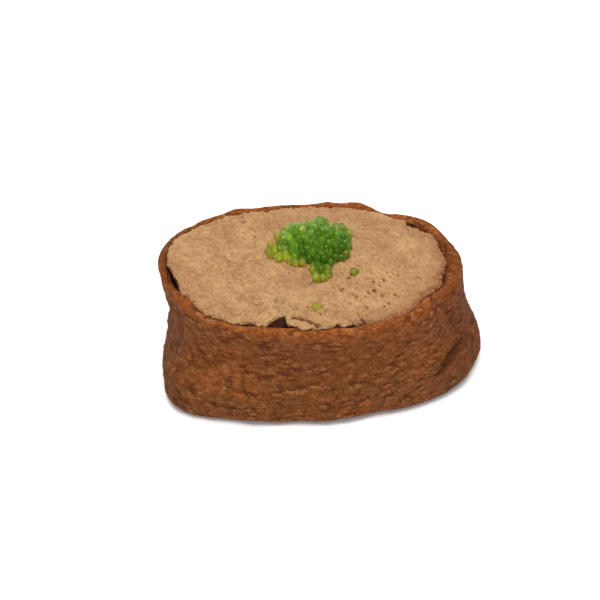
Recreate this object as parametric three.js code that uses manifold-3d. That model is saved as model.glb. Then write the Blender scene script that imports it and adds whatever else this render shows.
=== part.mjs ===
// Inari sushi: a seasoned fried-tofu pouch, open at the top, filled with a pale fish paste and
// topped with a small heap of green fish roe. Millimetres, +Z up. The long side lies along X and
// the front faces -Y. The origin is on the floor, under the middle of the whole food.

import * as THREE from "three";
import { ParametricGeometry } from "three/addons/geometries/ParametricGeometry.js";
import { ImprovedNoise } from "three/addons/math/ImprovedNoise.js";
import { mergeVertices } from "three/addons/utils/BufferGeometryUtils.js";
import Module from "manifold-3d";

const wasm = await Module();
wasm.setup();

// The pouch seen from above is four quarter outlines, given at four heights by how far they reach
// to the left, right, front and back. A roundness of 2 is an ellipse, and more is squarer. The
// foot is turned against the rim by a few degrees.
const POUCH_LEVELS = [
  { z: 0, left: 33.6, right: 35.4, front: 21.6, back: 19.0, twist: 4.0, roundness: [2.4, 2.4, 3.0, 2.5] },
  { z: 7, left: 33.8, right: 35.2, front: 21.6, back: 20.4, twist: 3.5, roundness: [2.4, 2.4, 3.0, 2.4] },
  { z: 18, left: 31.2, right: 33.8, front: 20.0, back: 19.8, twist: 2.0, roundness: [2.3, 2.3, 2.5, 2.3] },
  { z: 28.5, left: 33.6, right: 32.6, front: 20.6, back: 20.7, twist: 0, roundness: [2.2, 2.2, 2.2, 2.2] },
];
const RIM_HEIGHT = 28.5;
const LIP_RADIUS = 1.35; // half the thickness of the folded edge
const SKIN_THICKNESS = 1.8;
const FOOT_RADIUS = 3.0; // the rounding between wall and base

// Swells push the wall out, and hollows pull it in: angle in degrees, counted from the right end
// towards the back, height, half spans in degrees and in millimetres, and how far out.
const SWELLS = [
  { angle: 358, z: 6.0, wide: 13, high: 8.0, out: 3.3 }, // the bag's right corner, which sticks out
  { angle: 352, z: 1.5, wide: 8, high: 4.0, out: 1.1 },
  { angle: 332, z: 2.0, wide: 14, high: 5.5, out: 1.3 },
  { angle: 270, z: 0, wide: 13, high: 6.0, out: 0.8 },
  { angle: 349, z: 13.5, wide: 5, high: 2.4, out: -1.6 }, // the hollow over that corner
  { angle: 336, z: 28.5, wide: 13, high: 7.0, out: -1.5 }, // the rim drawn in at the right front
  { angle: 222, z: 28.5, wide: 15, high: 7.0, out: 0.9 },
  { angle: 275, z: 28.5, wide: 20, high: 5.0, out: 0.6 },
  { angle: 207, z: 2.0, wide: 11, high: 7.0, out: 2.9 }, // the left corner, folded back
  { angle: 187, z: 4.0, wide: 8, high: 3.0, out: 0.9 },
  { angle: 178, z: 9.0, wide: 9, high: 3.5, out: -1.0 },
  { angle: 188, z: 13, wide: 9, high: 2.8, out: -2.0 },
];

// Creases are cut along lines on the wall, and a negative depth raises a fold: ends as angle and
// height, half width and depth.
const CREASES = [
  { from: [353.8, 11.8], to: [338.8, 12.6], wide: 1.6, deep: 0.9 },
  { from: [338.8, 12.6], to: [331, 9.6], wide: 1.6, deep: 0.7 },
  { from: [353, 14.8], to: [334.5, 14.6], wide: 1.6, deep: -0.7 },
  { from: [334.5, 14.6], to: [322.2, 11.4], wide: 1.6, deep: -0.5 },
  { from: [338.2, 27.0], to: [343.5, 17.0], wide: 1.5, deep: 0.6 },
  { from: [187.5, 7.0], to: [199, 5.4], wide: 1.5, deep: 0.8 },
  { from: [199, 5.4], to: [211, 2.4], wide: 1.5, deep: 0.8 },
  { from: [200.2, 26.0], to: [198.5, 15.6], wide: 1.8, deep: 0.6 },
];

// The rim rises and dips, and its fold is thicker in some places.
const RIM_WAVES = [
  { angle: 80, wide: 5, rise: 0.7 },
  { angle: 62, wide: 8, rise: 1.0 },
  { angle: 48, wide: 6, rise: -0.7 },
  { angle: 30, wide: 10, rise: 1.1 },
  { angle: 133, wide: 8, rise: 0.7 },
  { angle: 168, wide: 9, rise: 1.1 },
  { angle: 225, wide: 18, rise: -0.4 },
];
const LIP_WAVES = [
  { angle: 334, wide: 15, thicker: 0.55 },
  { angle: 172, wide: 24, thicker: -0.4 },
  { angle: 98, wide: 48, thicker: -0.5 },
];

// Broad uneven swelling of the soft skin, closer together up the wall than along it.
const SKIN_NOISE = { size: 8.5, rise: 0.5, upright: 1.6 };

// The inside is measured at these heights, from the rim down: behind the folded edge, and below
// it, where the inner face follows the swells and creases of the outer one only in part.
const FOLD_HEIGHTS = [25, 22.5];
const INNER_HEIGHTS = [21, 17.5, 13.5, 9.5, 5];
const INNER_FOLLOW = 0.4;

// Filling: it stands at the rim, is a little crowned and has a rounded edge. Where dents let it
// draw back from the skin, a dark gap shows.
const CLEARANCE = 0.3;
const PASTE_LEVEL = 28.4;
const PASTE_CROWN = 1.1;
const PASTE_EDGE = { inset: 2.4, drop: 1.5 };
const PASTE_LIFTS = [
  { angle: 75, wide: 32, rise: 1.2, flatter: 0.7 },
  { angle: 145, wide: 32, rise: 0.9, flatter: 0.8 },
  { angle: 205, wide: 22, rise: -0.4, flatter: 0 },
  { angle: 282, wide: 20, rise: 0.3, flatter: 0 },
  { angle: 27, wide: 14, rise: 0.4, flatter: 0.3 },
];
const PASTE_DENTS = [
  { angle: 191, wide: 5.5, deep: 1.1 },
  { angle: 250.5, wide: 4.0, deep: 1.7 },
  { angle: 27, wide: 8, deep: 0.7 },
  { angle: 4, wide: 5, deep: 0.7 },
  { angle: 345, wide: 5, deep: 0.6 },
];
const PASTE_STROKES = [
  { from: [-4.5, -14.0], to: [3.5, -17.6], wide: 1.7, deep: -0.6 },
  { from: [-5.5, -16.5], to: [0.5, -19.0], wide: 1.3, deep: 0.5 },
  { from: [11.5, -14.2], to: [12.4, -17.8], wide: 1.1, deep: 0.8 },
];
const PASTE_NOISE = { size: 4.2, rise: 0.55 };

// Roe: eggs of 1.8 mm, some larger and some smaller. The heap is made of round mounds, each with
// its middle, half sizes and height. Its core stays lower than the mounds by most of an egg.
const EGG_RADIUS = 0.9;
const EGG_VARIATION = 0.1;
const EGG_SPACING = 1.5; // between the middles of neighbours
const EGG_STANDS = 1.6; // how many radii an egg lies under the heap's height
const CORE_LOWER = 0.72;
const ROE_MOUNDS = [
  { x: 1.3, y: 4.5, rx: 6.9, ry: 6.4, high: 4.3 },
  { x: -2.2, y: 6.0, rx: 5.6, ry: 4.8, high: 4.0 },
  { x: -6.6, y: 2.2, rx: 3.5, ry: 3.0, high: 1.2 },
  { x: -3.6, y: 0.2, rx: 4.2, ry: 2.2, high: 1.0 },
  { x: 1.8, y: -3.6, rx: 2.3, ry: 3.7, high: 1.2 },
];
const ROE_MIDDLE = { x: 0.6, y: 2.6 };
const ROE_REACH = 12;
const STRAY_EGGS = [
  { x: 8.7, y: -2.8, sunk: 0.35 },
  { x: 0.8, y: -13.2, sunk: 0.95 },
];

// How finely each surface is divided, and how many eggs are tried in the heap.
const AROUND = 82;
const AROUND_HEAP = 24;
const EGG_TRIES = 3000;
const END_CLOSENESS = 0.78; // under 1, the points stand closer at the narrow ends
const UNROLLED_RADIUS = 30; // the radius at which the wall is laid flat to measure creases

const noise = new ImprovedNoise();

function seededRandom(seed) {
  let state = seed;
  return () => {
    state = (state + 0x6d2b79f5) | 0;
    let t = Math.imul(state ^ (state >>> 15), 1 | state);
    t = (t + Math.imul(t ^ (t >>> 7), 61 | t)) ^ t;
    return ((t ^ (t >>> 14)) >>> 0) / 4294967296;
  };
}

// Degrees from one angle to another, the short way round.
function turn(from, to) {
  return THREE.MathUtils.euclideanModulo(to - from + 180, 360) - 180;
}

function bell(distance) {
  return Math.exp(-distance * distance);
}

// The sum of the waves at an angle in degrees, each a bell of its own width.
function waves(list, key, angle) {
  return list.reduce((sum, w) => sum + w[key] * bell(turn(w.angle, angle) / w.wide), 0);
}

// Distance from a point to the line between two ends, all in the plane.
function distanceToLine(x, y, [x0, y0], [x1, y1]) {
  const start = new THREE.Vector3(x0, y0, 0);
  const line = new THREE.Line3(start, new THREE.Vector3(x1, y1, 0));
  const point = new THREE.Vector3(x, y, 0);
  return line.closestPointToPoint(point, true, new THREE.Vector3()).distanceTo(point);
}

// A named size of the pouch at a height, eased between the levels.
function atLevel(pick, z) {
  const last = POUCH_LEVELS.length - 1;
  const upper = Math.max(1, POUCH_LEVELS.findIndex((level) => level.z >= z));
  const k = z >= POUCH_LEVELS[last].z ? last : upper;
  const below = POUCH_LEVELS[k - 1];
  const above = POUCH_LEVELS[k];
  const t = THREE.MathUtils.smoothstep(z, below.z, above.z);
  return THREE.MathUtils.lerp(pick(below), pick(above), t);
}

// How far the pouch's outline is from the middle, without creases and swells.
function outline(angle, z) {
  const c = Math.cos(angle);
  const s = Math.sin(angle);
  const quarter = s >= 0 ? (c >= 0 ? 0 : 1) : c < 0 ? 2 : 3;
  const length = atLevel((level) => (c < 0 ? level.left : level.right), z);
  const width = atLevel((level) => (s < 0 ? level.front : level.back), z);
  const n = atLevel((level) => level.roundness[quarter], z);
  return (Math.abs(c / length) ** n + Math.abs(s / width) ** n) ** (-1 / n);
}

// Swells, creases and broad unevenness of the wall, outwards.
function wallRelief(angle, z) {
  const degrees = THREE.MathUtils.radToDeg(angle);
  let out = 0;
  for (const swell of SWELLS) {
    const across = turn(swell.angle, degrees) / swell.wide;
    out += swell.out * bell(Math.hypot(across, (z - swell.z) / swell.high));
  }
  const unrolled = (a) => THREE.MathUtils.degToRad(turn(degrees, a)) * UNROLLED_RADIUS;
  for (const { from, to, wide, deep } of CREASES) {
    const distance = distanceToLine(0, z, [unrolled(from[0]), from[1]], [unrolled(to[0]), to[1]]);
    out -= deep * bell(distance / wide);
  }
  const { size, rise, upright } = SKIN_NOISE;
  const radius = outline(angle, z) / size;
  const height = (upright * z) / size;
  return out + rise * noise.noise(radius * Math.cos(angle), radius * Math.sin(angle), height);
}

function rimTop(angle) {
  return RIM_HEIGHT + waves(RIM_WAVES, "rise", THREE.MathUtils.radToDeg(angle));
}

function lipRadius(angle) {
  return LIP_RADIUS + waves(LIP_WAVES, "thicker", THREE.MathUtils.radToDeg(angle));
}

// A point of the pouch at an angle and height, set in from the outer face and drawn to the middle
// by a share. The inner faces follow the wall's relief in part.
function pouchPoint(target, angle, z, inset, share = 1, follow = 1) {
  const distance = share * (outline(angle, z) + follow * wallRelief(angle, z) - inset);
  const turned = angle + THREE.MathUtils.degToRad(atLevel((level) => level.twist, z));
  return target.set(distance * Math.cos(turned), distance * Math.sin(turned), z);
}

// Even steps from the first number to the last, both included.
function steps(first, last, count) {
  return Array.from({ length: count + 1 }, (_, k) => first + ((last - first) * k) / count);
}

// A closed skin through rings, from a first ring that is a point to a last one that is a point.
// Each ring is a function that sets a point for an angle. Faces point out when the rings run from
// the base outwards, up and back in over the top.
function ringSurface(rings, around) {
  const lastRing = rings.length - 1;
  const place = (u, v, target) => {
    const step = (2 * Math.PI * (Math.round(u * around) % around)) / around;
    const angle = Math.atan2(END_CLOSENESS * Math.sin(step), Math.cos(step));
    rings[Math.round(v * lastRing)](target, THREE.MathUtils.euclideanModulo(angle, 2 * Math.PI));
  };
  return new ParametricGeometry(place, around, lastRing);
}

// The geometry with its corners shared and its collapsed triangles gone.
function welded(geometry) {
  const bare = new THREE.BufferGeometry();
  bare.setAttribute("position", geometry.getAttribute("position"));
  bare.setIndex(geometry.index ?? [...Array(bare.getAttribute("position").count).keys()]);
  const merged = mergeVertices(bare, 1e-4);
  const kept = [];
  const corners = merged.index.array;
  for (let i = 0; i < corners.length; i += 3) {
    const [a, b, c] = corners.slice(i, i + 3);
    if (a !== b && b !== c && c !== a) {
      kept.push(a, b, c);
    }
  }
  merged.setIndex(kept);
  return merged;
}

function solid(geometry) {
  const merged = welded(geometry);
  const vertProperties = new Float32Array(merged.getAttribute("position").array);
  const triVerts = new Uint32Array(merged.index.array);
  return new wasm.Manifold(new wasm.Mesh({ numProp: 3, vertProperties, triVerts }));
}

// The geometry of the largest body of a solid, which leaves loose scraps out.
function largestBody(manifold) {
  const bodies = manifold.decompose().sort((a, b) => b.volume() - a.volume());
  const { vertProperties, triVerts } = bodies[0].getMesh();
  const geometry = new THREE.BufferGeometry();
  geometry.setAttribute("position", new THREE.BufferAttribute(vertProperties, 3));
  geometry.setIndex(new THREE.BufferAttribute(triVerts, 1));
  geometry.computeVertexNormals();
  return geometry;
}

// The pouch: base, rounded foot, wall, lip, folded-in edge, inner wall and inner floor.
function pouchGeometry() {
  const base = [0, 0.5].map((share) => (p, a) => pouchPoint(p, a, 0, FOOT_RADIUS, share));
  const foot = steps(0, Math.PI / 2, 3).map((bend) => (p, a) => {
    const inset = FOOT_RADIUS * (1 - Math.sin(bend));
    return pouchPoint(p, a, FOOT_RADIUS * (1 - Math.cos(bend)), inset);
  });
  const wall = steps(0, 1, 11).map((share) => (p, a) => {
    const top = rimTop(a) - lipRadius(a);
    return pouchPoint(p, a, THREE.MathUtils.lerp(FOOT_RADIUS, top, share), 0);
  });
  const lip = steps(0, Math.PI, 6).map((bend) => (p, a) => {
    const r = lipRadius(a);
    return pouchPoint(p, a, rimTop(a) - r + r * Math.sin(bend), r * (1 - Math.cos(bend)));
  });
  const foldedEdge = FOLD_HEIGHTS.map((z) => (p, a) => pouchPoint(p, a, z, 2 * lipRadius(a)));
  const innerWall = INNER_HEIGHTS.map(
    (z) => (p, a) => pouchPoint(p, a, z, SKIN_THICKNESS, 1, INNER_FOLLOW),
  );
  const innerFloor = [0.94, 0.5, 0].map(
    (share) => (p, a) => pouchPoint(p, a, SKIN_THICKNESS, SKIN_THICKNESS, share, INNER_FOLLOW),
  );
  const outside = [...base, ...foot, ...wall.slice(1), ...lip.slice(1)];
  return ringSurface([...outside, ...foldedEdge, ...innerWall, ...innerFloor], AROUND);
}

// Where the paste's edge stands at an angle, from the middle, and how high its top would be there
// without the rounding.
function pasteEdge(angle) {
  const degrees = THREE.MathUtils.radToDeg(angle);
  const z = RIM_HEIGHT - LIP_RADIUS;
  const dent = waves(PASTE_DENTS, "deep", degrees);
  return outline(angle, z) + wallRelief(angle, z) - 2 * lipRadius(angle) - CLEARANCE - dent;
}

function pasteLevel(angle) {
  return PASTE_LEVEL + waves(PASTE_LIFTS, "rise", THREE.MathUtils.radToDeg(angle));
}

// Height of the paste's top over a point of the plan.
function pasteTop(x, y) {
  const angle = THREE.MathUtils.euclideanModulo(Math.atan2(y, x), 2 * Math.PI);
  const share = Math.min(1, Math.hypot(x, y) / pasteEdge(angle));
  const rounding = Math.max(0, share * pasteEdge(angle) - pasteEdge(angle) + PASTE_EDGE.inset);
  const bend = Math.min(1, rounding / PASTE_EDGE.inset);
  const level = THREE.MathUtils.lerp(PASTE_LEVEL, pasteLevel(angle), share * share);
  let z = level + PASTE_CROWN * (1 - share * share);
  const drop = PASTE_EDGE.drop - waves(PASTE_LIFTS, "flatter", THREE.MathUtils.radToDeg(angle));
  z -= drop * (1 - Math.sqrt(1 - bend * bend));
  for (const { from, to, wide, deep } of PASTE_STROKES) {
    z -= deep * bell(distanceToLine(x, y, from, to) / wide);
  }
  return z + PASTE_NOISE.rise * noise.noise(x / PASTE_NOISE.size, y / PASTE_NOISE.size, 0.5);
}

// The paste fills the pouch to its inner faces, and its top is domed with a rounded edge.
function fillingGeometry() {
  const inset = SKIN_THICKNESS + CLEARANCE;
  const floor = [0, 0.5, 0.92].map(
    (share) => (p, a) => pouchPoint(p, a, SKIN_THICKNESS + CLEARANCE, inset, share, INNER_FOLLOW),
  );
  const side = INNER_HEIGHTS.toReversed().map(
    (z) => (p, a) => pouchPoint(p, a, z, inset, 1, INNER_FOLLOW),
  );
  const underLip = FOLD_HEIGHTS.toReversed().map((z) => (p, a) => {
    const dent = waves(PASTE_DENTS, "deep", THREE.MathUtils.radToDeg(a));
    return pouchPoint(p, a, z, 2 * lipRadius(a) + CLEARANCE + dent);
  });
  const topRing = (share) => (p, a) => {
    const distance = share(pasteEdge(a));
    const x = distance * Math.cos(a);
    const y = distance * Math.sin(a);
    return p.set(x, y, pasteTop(x, y));
  };
  const edge = [1, 0.9, 0.6, 0.2].map((bend) =>
    topRing((reach) => reach - PASTE_EDGE.inset * (1 - bend)),
  );
  const top = [0.88, 0.78, 0.67, 0.55, 0.42, 0.28, 0.14, 0].map((share) =>
    topRing((reach) => share * (reach - PASTE_EDGE.inset)),
  );
  return ringSurface([...floor, ...side, ...underLip, ...edge, ...top], AROUND);
}

// One egg as an eight-faced ball divided once, turned at random so that no two look alike.
function eggSolid(x, y, z, radius, random) {
  const egg = new THREE.OctahedronGeometry(radius, 1);
  const turned = new THREE.Euler(6.28 * random(), 6.28 * random(), 6.28 * random());
  egg.applyMatrix4(new THREE.Matrix4().makeRotationFromEuler(turned));
  egg.translate(x, y, z);
  return solid(egg);
}

function fillingWithStrays() {
  const random = seededRandom(5);
  let whole = solid(fillingGeometry());
  for (const { x, y, sunk } of STRAY_EGGS) {
    const z = pasteTop(x, y) + EGG_RADIUS * (1 - 2 * sunk);
    whole = whole.add(eggSolid(x, y, z, EGG_RADIUS, random));
  }
  return largestBody(whole);
}

// Height of the roe heap over the paste, 0 outside it.
function heapHeight(x, y) {
  const heights = ROE_MOUNDS.map((mound) => {
    const reach = Math.hypot((x - mound.x) / mound.rx, (y - mound.y) / mound.ry);
    return reach < 1 ? mound.high * Math.sqrt(1 - reach * reach) : 0;
  });
  return Math.max(...heights);
}

// A point of the plan at a distance and direction from the heap's middle.
function fromHeapMiddle(distance, angle) {
  return [ROE_MIDDLE.x + distance * Math.cos(angle), ROE_MIDDLE.y + distance * Math.sin(angle)];
}

// How far the heap reaches from its middle in a direction.
function heapReach(angle) {
  let reach = 0;
  while (heapHeight(...fromHeapMiddle(reach, angle)) > 0) {
    reach += 0.05;
  }
  return reach;
}

// The heap's core, which the eggs stand on. It ends inside the outermost eggs.
function heapCoreGeometry() {
  const reaches = new Map();
  const reachAt = (angle) => {
    if (!reaches.has(angle)) {
      reaches.set(angle, heapReach(angle) - CORE_LOWER * EGG_RADIUS);
    }
    return reaches.get(angle);
  };
  const ring = (share, top) => (p, a) => {
    const [x, y] = fromHeapMiddle(share * reachAt(a), a);
    const height = top ? Math.max(EGG_RADIUS, heapHeight(x, y) - CORE_LOWER * EGG_RADIUS) : 0;
    return p.set(x, y, pasteTop(x, y) + CLEARANCE + height);
  };
  const under = [0, 0.5, 1].map((share) => ring(share, false));
  const over = [1, 0.75, 0.5, 0.25, 0].map((share) => ring(share, true));
  return ringSurface([...under, ...over], AROUND_HEAP);
}

// Eggs are dropped on the heap at random, and each stays only where its neighbours leave room.
function eggPlaces(random) {
  const places = [];
  for (let i = 0; i < EGG_TRIES; i += 1) {
    const [x, y] = fromHeapMiddle(ROE_REACH * Math.sqrt(random()), 2 * Math.PI * random());
    const radius = EGG_RADIUS * (1 + EGG_VARIATION * (2 * random() - 1));
    const lift = Math.max(0, heapHeight(x, y) - EGG_STANDS * radius);
    const centre = new THREE.Vector3(x, y, pasteTop(x, y) + CLEARANCE + radius + lift);
    const hasRoom = places.every((egg) => egg.centre.distanceTo(centre) > EGG_SPACING);
    if (heapHeight(x, y) > 0 && hasRoom) {
      places.push({ centre, radius });
    }
  }
  return places;
}

function heapGeometry() {
  const random = seededRandom(21);
  let whole = solid(heapCoreGeometry());
  for (const { centre, radius } of eggPlaces(random)) {
    whole = whole.add(eggSolid(centre.x, centre.y, centre.z, radius, random));
  }
  return largestBody(whole);
}

function piece(name, geometry, look) {
  const mesh = new THREE.Mesh(geometry, new THREE.MeshStandardMaterial({ metalness: 0, ...look }));
  mesh.name = name;
  return mesh;
}

const pouch = welded(pouchGeometry());
pouch.computeVertexNormals();

const food = new THREE.Group();
food.add(piece("pouch", pouch, { color: 0x7a4828, roughness: 0.6 }));
food.add(piece("filling", fillingWithStrays(), { color: 0xbf9366, roughness: 0.85 }));
food.add(piece("roe_heap", heapGeometry(), { color: 0x4f8a25, roughness: 0.2 }));

// The food is moved so that the origin is under its middle.
const middle = new THREE.Box3().setFromObject(food).getCenter(new THREE.Vector3());
food.position.set(-middle.x, -middle.y, 0);

const inariSushi = new THREE.Group();
inariSushi.add(food);

export default inariSushi;
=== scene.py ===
import math

import bmesh
import bpy
import numpy as np
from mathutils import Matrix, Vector
from mathutils.bvhtree import BVHTree


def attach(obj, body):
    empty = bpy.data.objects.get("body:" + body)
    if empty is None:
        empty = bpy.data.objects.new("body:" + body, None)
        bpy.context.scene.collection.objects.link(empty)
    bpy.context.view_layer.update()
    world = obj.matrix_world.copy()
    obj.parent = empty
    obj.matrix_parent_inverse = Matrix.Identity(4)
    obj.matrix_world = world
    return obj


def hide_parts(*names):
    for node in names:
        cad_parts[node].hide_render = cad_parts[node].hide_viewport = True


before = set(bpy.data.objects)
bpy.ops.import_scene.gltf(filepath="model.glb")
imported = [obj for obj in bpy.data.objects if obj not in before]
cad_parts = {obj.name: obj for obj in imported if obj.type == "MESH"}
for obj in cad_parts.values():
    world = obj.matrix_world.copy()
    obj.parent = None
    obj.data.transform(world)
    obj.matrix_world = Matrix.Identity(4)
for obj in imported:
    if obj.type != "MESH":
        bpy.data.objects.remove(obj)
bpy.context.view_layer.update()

# The pouch: a skin of fried tofu, simmered till it is brown and soft, standing on its closed end.
# The open top is folded in to a smooth moist rim, and the wall is wrinkled in fine scales. Its form
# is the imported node's, scanned by rays, and its folds and wrinkles are raised on that.
MM = 0.001  # shapes are worked out in millimetres and made in metres
POUCH_AXIS = np.array([-2.434, 0.583, 0.0])
AROUND = 720
END_CLOSENESS = 0.78  # under 1, the points stand closer at the narrow ends
FOOT_ROWS = 12
WALL_ROWS = 92
LIP_ROWS = 16
LOWEST_ROW = 0.02  # just over the table
FOOT_HEIGHT = 3.0
LIP_RADIUS = 1.35
UNDER_LIP = 26.0  # a height just under the lip
FLOOR_HEIGHT = 1.8
FLOOR_EDGE = 0.8
INNER_DEPTHS = (1.0, 2.2, 4.0, 6.5, 10.0, 14.0, 18.0, 22.0, 25.0)  # below the lip's middle
LEAN_DEPTH = 6.5  # how far below the lip's middle the lining leans in with the rim
WALL_SOFTENING = 10
RIM_BAND = 1.5  # how far the smooth rim reaches down the wall
BROAD_RIM = 1.2  # and how much farther at the front right
BROAD_RIM_ANGLE = 318
BROAD_RIM_SPREAD = 24
RIM_FULL = 1.3  # the rim's mark on the lip
RIM_FADE = 1.6  # and the bands down the wall over which it falls by 1
RIM_LEAST = 0.42  # how smooth and orange the rim is at least
RIM_SHOWS_FADE = 14
RIM_SHOWS = (  # angle, half width, and how smooth and orange the rim is there
    (298, 38, 1.0),
    (243, 24, 0.75),
    (90, 60, 0.62),
    (192, 22, 0.6),
)
FOLDS = (  # line through places from the pouch's axis, half width, and how far it stands out
    (((33.6, -4.5, 15.1), (32.2, -7.6, 14.1), (29.4, -12.0, 14.7), (27.3, -14.0, 13.3)), 0.8, 0.8),
    (((27.3, -14.0, 13.3), (23.8, -16.5, 10.9), (20.0, -18.0, 8.5)), 0.9, 0.3),
    (((32.8, -7.5, 11.8), (31.3, -10.1, 11.0), (30.1, -11.7, 9.9)), 1.6, -1.5),
    (((34.3, -3.0, 12.3), (35.4, -4.0, 10.2)), 1.0, -0.7),
    (((28.9, -9.0, 24.0), (30.2, -8.5, 20.5), (31.6, -7.8, 16.9)), 0.8, -0.6),
    (((26.0, -12.2, 23.0), (28.2, -11.5, 18.5)), 0.7, -0.3),
    (((-32.8, -6.5, 9.5), (-32.8, -8.1, 7.1), (-31.6, -14.9, 7.1), (-29.5, -18.1, 6.8)), 0.6, -0.7),
    (((-29.5, -18.1, 6.8), (-27.7, -19.2, 2.5)), 0.6, -0.6),
    (((-32.3, -10.0, 9.5), (-29.9, -15.7, 10.0), (-28.0, -18.3, 8.0)), 0.6, 0.4),
    (((-28.6, -11.1, 24.3), (-29.2, -8.8, 17.5), (-29.4, -9.7, 13.8)), 1.4, -0.6),
    (((-27.9, -12.0, 24.6), (-26.1, -14.0, 23.6), (-24.2, -15.5, 21.8)), 0.8, -0.3),
    (((-27.0, -13.4, 22.6), (-24.9, -14.9, 20.6), (-22.7, -16.4, 18.3)), 0.9, -0.25),
    (((-28.2, -11.8, 20.5), (-26.0, -14.0, 18.0), (-24.5, -15.5, 15.0)), 0.9, -0.2),
)
SWELLS = (  # place from the pouch's axis, half width, and how far the skin stands out round it
    ((-33.7, 3.0, 28.0), 4.5, 0.55),
    ((-29.8, 9.5, 28.0), 3.5, 0.45),
    ((-31.9, -1.4, 13.0), 3.8, 1.1),
    ((-33.0, -4.5, 19.0), 3.0, 0.5),
    ((34.5, -9.5, 3.0), 4.7, 0.7),
    ((31.0, -13.0, 0.5), 4.5, -0.2),
    ((36.5, -1.5, 11.0), 3.5, -1.0),
    ((24.0, -18.0, 0.5), 6.0, -0.3),
    ((12.0, -21.5, 0.5), 6.0, -0.3),
    ((-8.0, -21.3, 0.5), 8.0, 0.35),
    ((-30.0, -15.5, 2.0), 5.0, 0.6),
    ((-32.0, 8.0, 27.0), 3.5, 0.35),
    ((-26.0, 15.5, 27.0), 3.0, 0.35),
    ((27.0, 13.0, 27.0), 5.0, 0.4),
)
TINTS = (  # place from the pouch's axis, half width, and how much lighter or darker the skin is there
    ((-16.0, -19.8, 15.0), 5.0, 1.0),
    ((-2.7, -20.0, 28.3), 3.5, 1.0),
    ((4.5, -20.3, 27.5), 4.0, 1.1),
    ((-25.0, -14.0, 26.0), 3.0, 0.8),
    ((15.0, -18.8, 27.0), 4.0, -0.8),
    ((21.0, -16.5, 27.0), 4.0, -0.7),
    ((26.5, -11.5, 28.0), 3.0, -0.4),
    ((-9.0, -20.5, 22.0), 4.0, -0.5),
)
RISING_WALL = (20, 27)  # heights between which the wall comes to rise with the rim
RIM_RISES = (  # angle, spread, and how much higher the rim is there
    (65, 13, 0.55),
    (81, 9, 0.45),
    (112, 10, 0.25),
    (25, 8, 0.3),
    (135, 6, 0.25),
    (147, 5, 0.6),
)
RIM_LEANS = (  # angle, spread, and how much farther the rim folds in there
    (0, 10, 1.4),
    (197, 9, 1.3),
    (155, 8, 0.7),
    (90, 55, 0.7),
    (293, 3.5, -1.0),
)
END_SHADE_REACH = (24, 33)  # from the axis: where the painted shade at the narrow ends starts, and where it is darkest
LOW_HEIGHTS = (22, 8)  # heights between which the wall turns olive, downwards


def surface_of(node):
    """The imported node's surface with its corners merged, as a tree that rays can be cast at."""
    copy = bmesh.new()
    copy.from_mesh(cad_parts[node].data)
    bmesh.ops.remove_doubles(copy, verts=copy.verts, dist=0.001 * MM)
    tree = BVHTree.FromBMesh(copy)
    copy.free()
    return tree


def cast(surface, starts, aims):
    """Where rays from the starts to the aims meet the surface, all in millimetres."""
    starts, aims = np.broadcast_arrays(starts, aims)
    hits = np.array(aims, float)
    for place in np.ndindex(starts.shape[:-1]):
        start = Vector(starts[place] * MM)
        hit = surface.ray_cast(start, Vector(aims[place] * MM) - start)[0]
        if hit is not None:
            hits[place] = np.array(hit) / MM
    return hits


def soften_round(values, axis):
    """Values round a ring, each drawn towards its two neighbours."""
    return (np.roll(values, 1, axis) + 2 * values + np.roll(values, -1, axis)) / 4


def soften(points, times):
    """Rings of points, each drawn towards its neighbours. The end rings are softened only round."""
    for _ in range(times):
        points = soften_round(points, 1)
        points[1:-1] = (points[:-2] + 2 * points[1:-1]) / 4 + points[2:] / 4
    return points


def set_mark(mesh, mark, values):
    """Stores a number at each corner of a mesh, for its relief or its material to read."""
    mesh.attributes.new(mark, "FLOAT", "POINT").data.foreach_set("value", values)


def new_object(name, data):
    """An object in the scene, at the origin."""
    made = bpy.data.objects.new(name, data)
    bpy.context.scene.collection.objects.link(made)
    return made


def ring_mesh(name, points, marks):
    """A closed mesh through rings of points. The first and last rings become one point each."""
    rings, around = points.shape[:2]
    inner = points[1:-1].reshape(-1, 3)
    corners = np.concatenate([points[:1, 0], inner, points[-1:, 0]]) * MM
    here = np.arange(around)
    after = (here + 1) % around
    faces = [(0, 1 + b, 1 + a) for a, b in zip(here, after)]
    for ring in range(rings - 3):
        low = 1 + ring * around
        high = low + around
        faces += zip(low + here, low + after, high + after, high + here)
    top = len(corners) - 1
    low = 1 + (rings - 3) * around
    faces += [(low + a, low + b, top) for a, b in zip(here, after)]
    mesh = bpy.data.meshes.new(name)
    mesh.from_pydata(corners.tolist(), [], [tuple(map(int, face)) for face in faces])
    for mark, values in marks.items():
        values = np.broadcast_to(values, (rings, around))
        column = np.concatenate([values[:1, 0], values[1:-1].ravel(), values[-1:, 0]])
        set_mark(mesh, mark, column.astype(np.float32))
    mesh.shade_smooth()
    return new_object(name, mesh)


def directions(around):
    """Level directions all round, as unit vectors."""
    step = 2 * np.pi * np.arange(around) / around
    angle = np.arctan2(END_CLOSENESS * np.sin(step), np.cos(step))
    return np.stack([np.cos(angle), np.sin(angle), 0 * angle], -1)


def smoothstep(low, high, value):
    """0 at the low end and 1 at the high one, with a smooth way between. Low may be the larger."""
    t = np.clip((value - low) / (high - low), 0, 1)
    return t * t * (3 - 2 * t)


def bell(apart, half_width):
    """1 at no distance, falling off on all sides."""
    return np.exp(-((apart / half_width) ** 2))


def to_line(points, line):
    """How far points are from a line through places."""
    line = np.array(line)
    nearest = np.full(points.shape[:-1], np.inf)
    for start, end in zip(line, line[1:]):
        along = end - start
        share = np.clip((points - start) @ along / (along @ along), 0, 1)
        apart = np.linalg.norm(points - start - share[..., None] * along, axis=-1)
        nearest = np.minimum(nearest, apart)
    return nearest


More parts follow.
